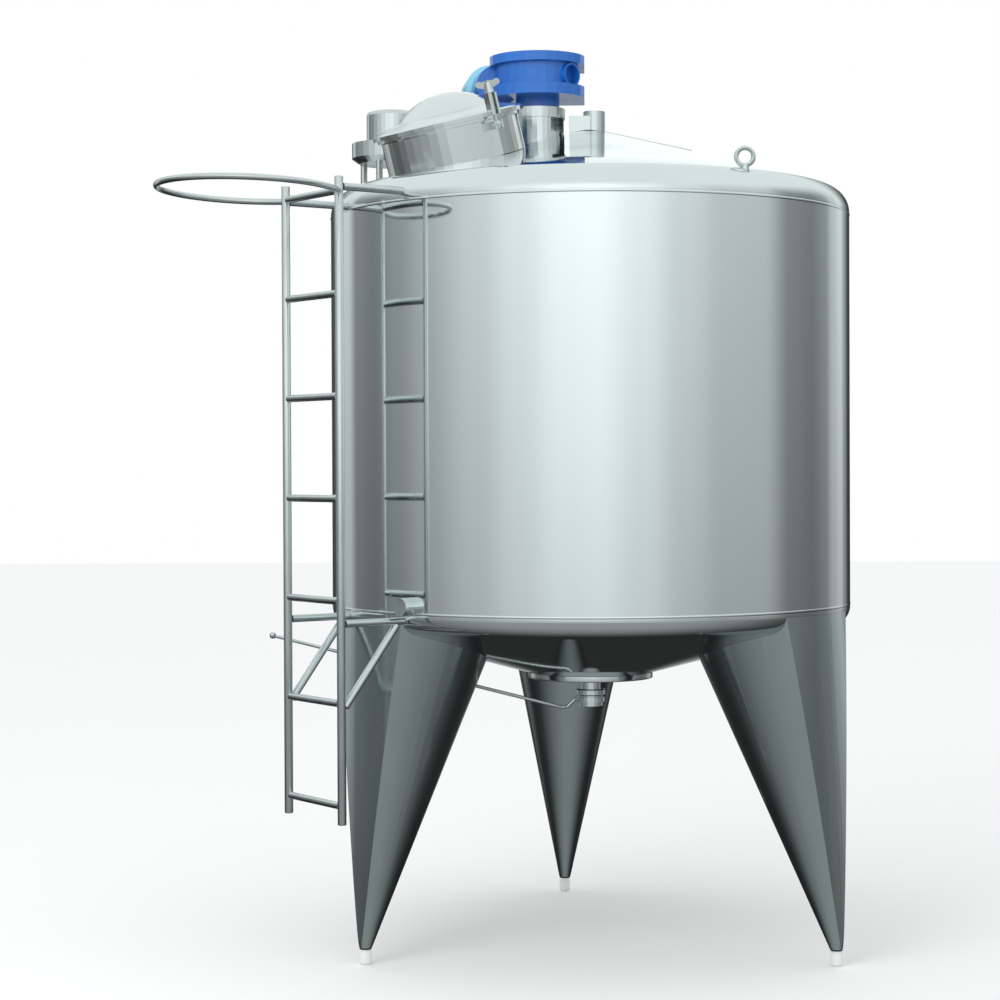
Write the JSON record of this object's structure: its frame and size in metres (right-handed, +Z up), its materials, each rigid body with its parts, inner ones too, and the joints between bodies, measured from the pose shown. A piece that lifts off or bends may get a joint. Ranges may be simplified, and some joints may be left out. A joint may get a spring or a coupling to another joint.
{
  "type": "vertical storage tank",
  "caption": "Upright round stainless steel storage tank on cone legs, with a roof manway, top mixer, vent, side ladder with hoop and a lever valve at the bottom outlet.",
  "frame": {"origin": "middle of the plan bounding box, on the floor under the feet", "axes": "+Z up along the tank's axis, -Y towards the side that faces the viewer, ladder and manway on the -X -Y side"},
  "size_m": [2.0977, 1.8568, 2.838],
  "materials": {
    "polished_steel": "polished stainless steel",
    "satin_steel": "satin stainless steel",
    "blue_casting": "gloss blue paint on a cast housing",
    "light_blue_paint": "satin light blue paint",
    "white_pad": "pale moulded foot pad",
    "dark_seal": "dark shaft coupling in shade"
  },
  "bodies": {
    "tank": {"shell_plate_1": "polished_steel", "shell_plate_2": "polished_steel", "shell_plate_3": "polished_steel", "shell_plate_4": "polished_steel", "shell_plate_5": "polished_steel", "shell_plate_6": "polished_steel", "roof_shoulder": "polished_steel", "roof_cone": "polished_steel", "bottom_dish": "polished_steel", "bottom_disc": "polished_steel", "leg_left": "satin_steel", "leg_right": "satin_steel", "leg_back": "satin_steel", "foot_left": "white_pad", "foot_right": "white_pad", "foot_back": "white_pad", "outlet_pipe": "satin_steel", "drain_valve": "satin_steel", "manway_neck": "polished_steel", "mixer_stand": "satin_steel", "mixer_shaft": "dark_seal", "gearbox": "blue_casting", "mixer_motor": "light_blue_paint", "vent_cowl": "satin_steel", "spray_nozzle": "satin_steel", "spray_pipe": "satin_steel", "lifting_lug_front": "satin_steel", "lifting_lug_rear": "satin_steel", "shell_boss": "satin_steel", "ladder_rail_left": "satin_steel", "ladder_rail_right": "satin_steel", "ladder_rung_1": "satin_steel", "ladder_rung_2": "satin_steel", "ladder_rung_3": "satin_steel", "ladder_rung_4": "satin_steel", "ladder_rung_5": "satin_steel", "ladder_rung_6": "satin_steel", "ladder_rung_7": "satin_steel", "ladder_hoop": "satin_steel", "ladder_stay_upper_left": "satin_steel", "ladder_stay_upper_right": "satin_steel", "ladder_stay_lower_left": "satin_steel", "ladder_stay_lower_right": "satin_steel"},
    "lid": {"manway_lid": "polished_steel"},
    "swing_bolt": {"lid_bolt": "satin_steel"},
    "lever": {"drain_lever": "satin_steel"}
  },
  "joints": [
    {"name": "manway_lid_hinge", "type": "hinge", "parent": "tank", "child": "lid", "pos_m": [-0.37257, 0.0064, 2.58234], "axis": [-0.7738, -0.5768, -0.2619], "range_deg": [0, 90]},
    {"name": "swing_bolt_hinge", "type": "hinge", "parent": "tank", "child": "swing_bolt", "pos_m": [-0.05658, -0.40207, 2.54829], "axis": [0.7738, 0.5768, 0.2619], "range_deg": [0, 85]},
    {"name": "drain_lever_hinge", "type": "hinge", "parent": "tank", "child": "lever", "pos_m": [0.21892, 0.09747, 0.766], "axis": [0, 0, -1], "range_deg": [0, 60]}
  ]
}
